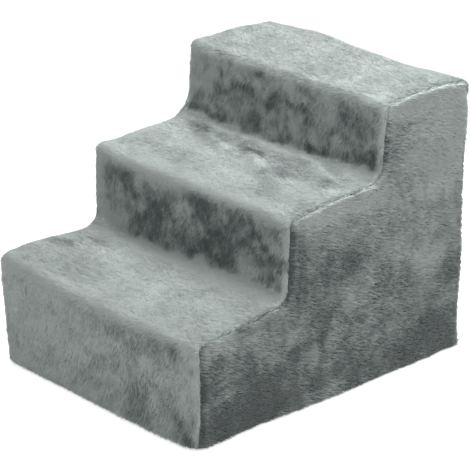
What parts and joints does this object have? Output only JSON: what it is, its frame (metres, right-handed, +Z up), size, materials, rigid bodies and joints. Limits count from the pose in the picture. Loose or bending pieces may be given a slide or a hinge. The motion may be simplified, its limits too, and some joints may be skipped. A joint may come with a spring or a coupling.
{
  "type": "pet stairs",
  "caption": "Low foam pet stairs in a removable short-plush slip cover, with a zip in the back and a grippy dotted base.",
  "frame": {"origin": "on the floor, under the middle of the stairs", "axes": "+X to the climber's right, +Y from the low front to the high back, +Z up"},
  "size_m": [0.346, 0.4437, 0.345],
  "materials": {
    "plush": "short sheared plush pile, grey-green, slightly crushed",
    "foam": "cut open-cell foam, off-white",
    "base_fabric": "woven, with rubber grip dots",
    "zip_tape": "woven tape",
    "zip_coil": "nylon coil",
    "zip_metal": "nickel plated"
  },
  "bodies": {
    "stairs": {"base_foam_slab": "foam", "middle_foam_slab": "foam", "top_foam_slab": "foam", "step_strip": "plush", "left_side_panel": "plush", "right_side_panel": "plush", "back_border": "plush", "back_flap": "plush", "anti_slip_base": "base_fabric", "outer_zip_tape": "zip_tape", "inner_zip_tape": "zip_tape", "outer_zip_coil": "zip_coil", "inner_zip_coil": "zip_coil", "zip_top_stops": "zip_metal", "zip_bottom_stop": "zip_metal"},
    "slider": {"zip_slider": "zip_metal"},
    "pull": {"zip_pull": "zip_metal"}
  },
  "joints": [
    {"name": "zip_slide", "type": "slide", "parent": "stairs", "child": "slider", "axis": [0, -0.0203, -0.9998], "range_m": [0, 0.175]},
    {"name": "pull_swing", "type": "hinge", "parent": "slider", "child": "pull", "pos_m": [0.132, 0.21907, 0.27427], "axis": [1, 0, 0], "range_deg": [0, 160]}
  ]
}
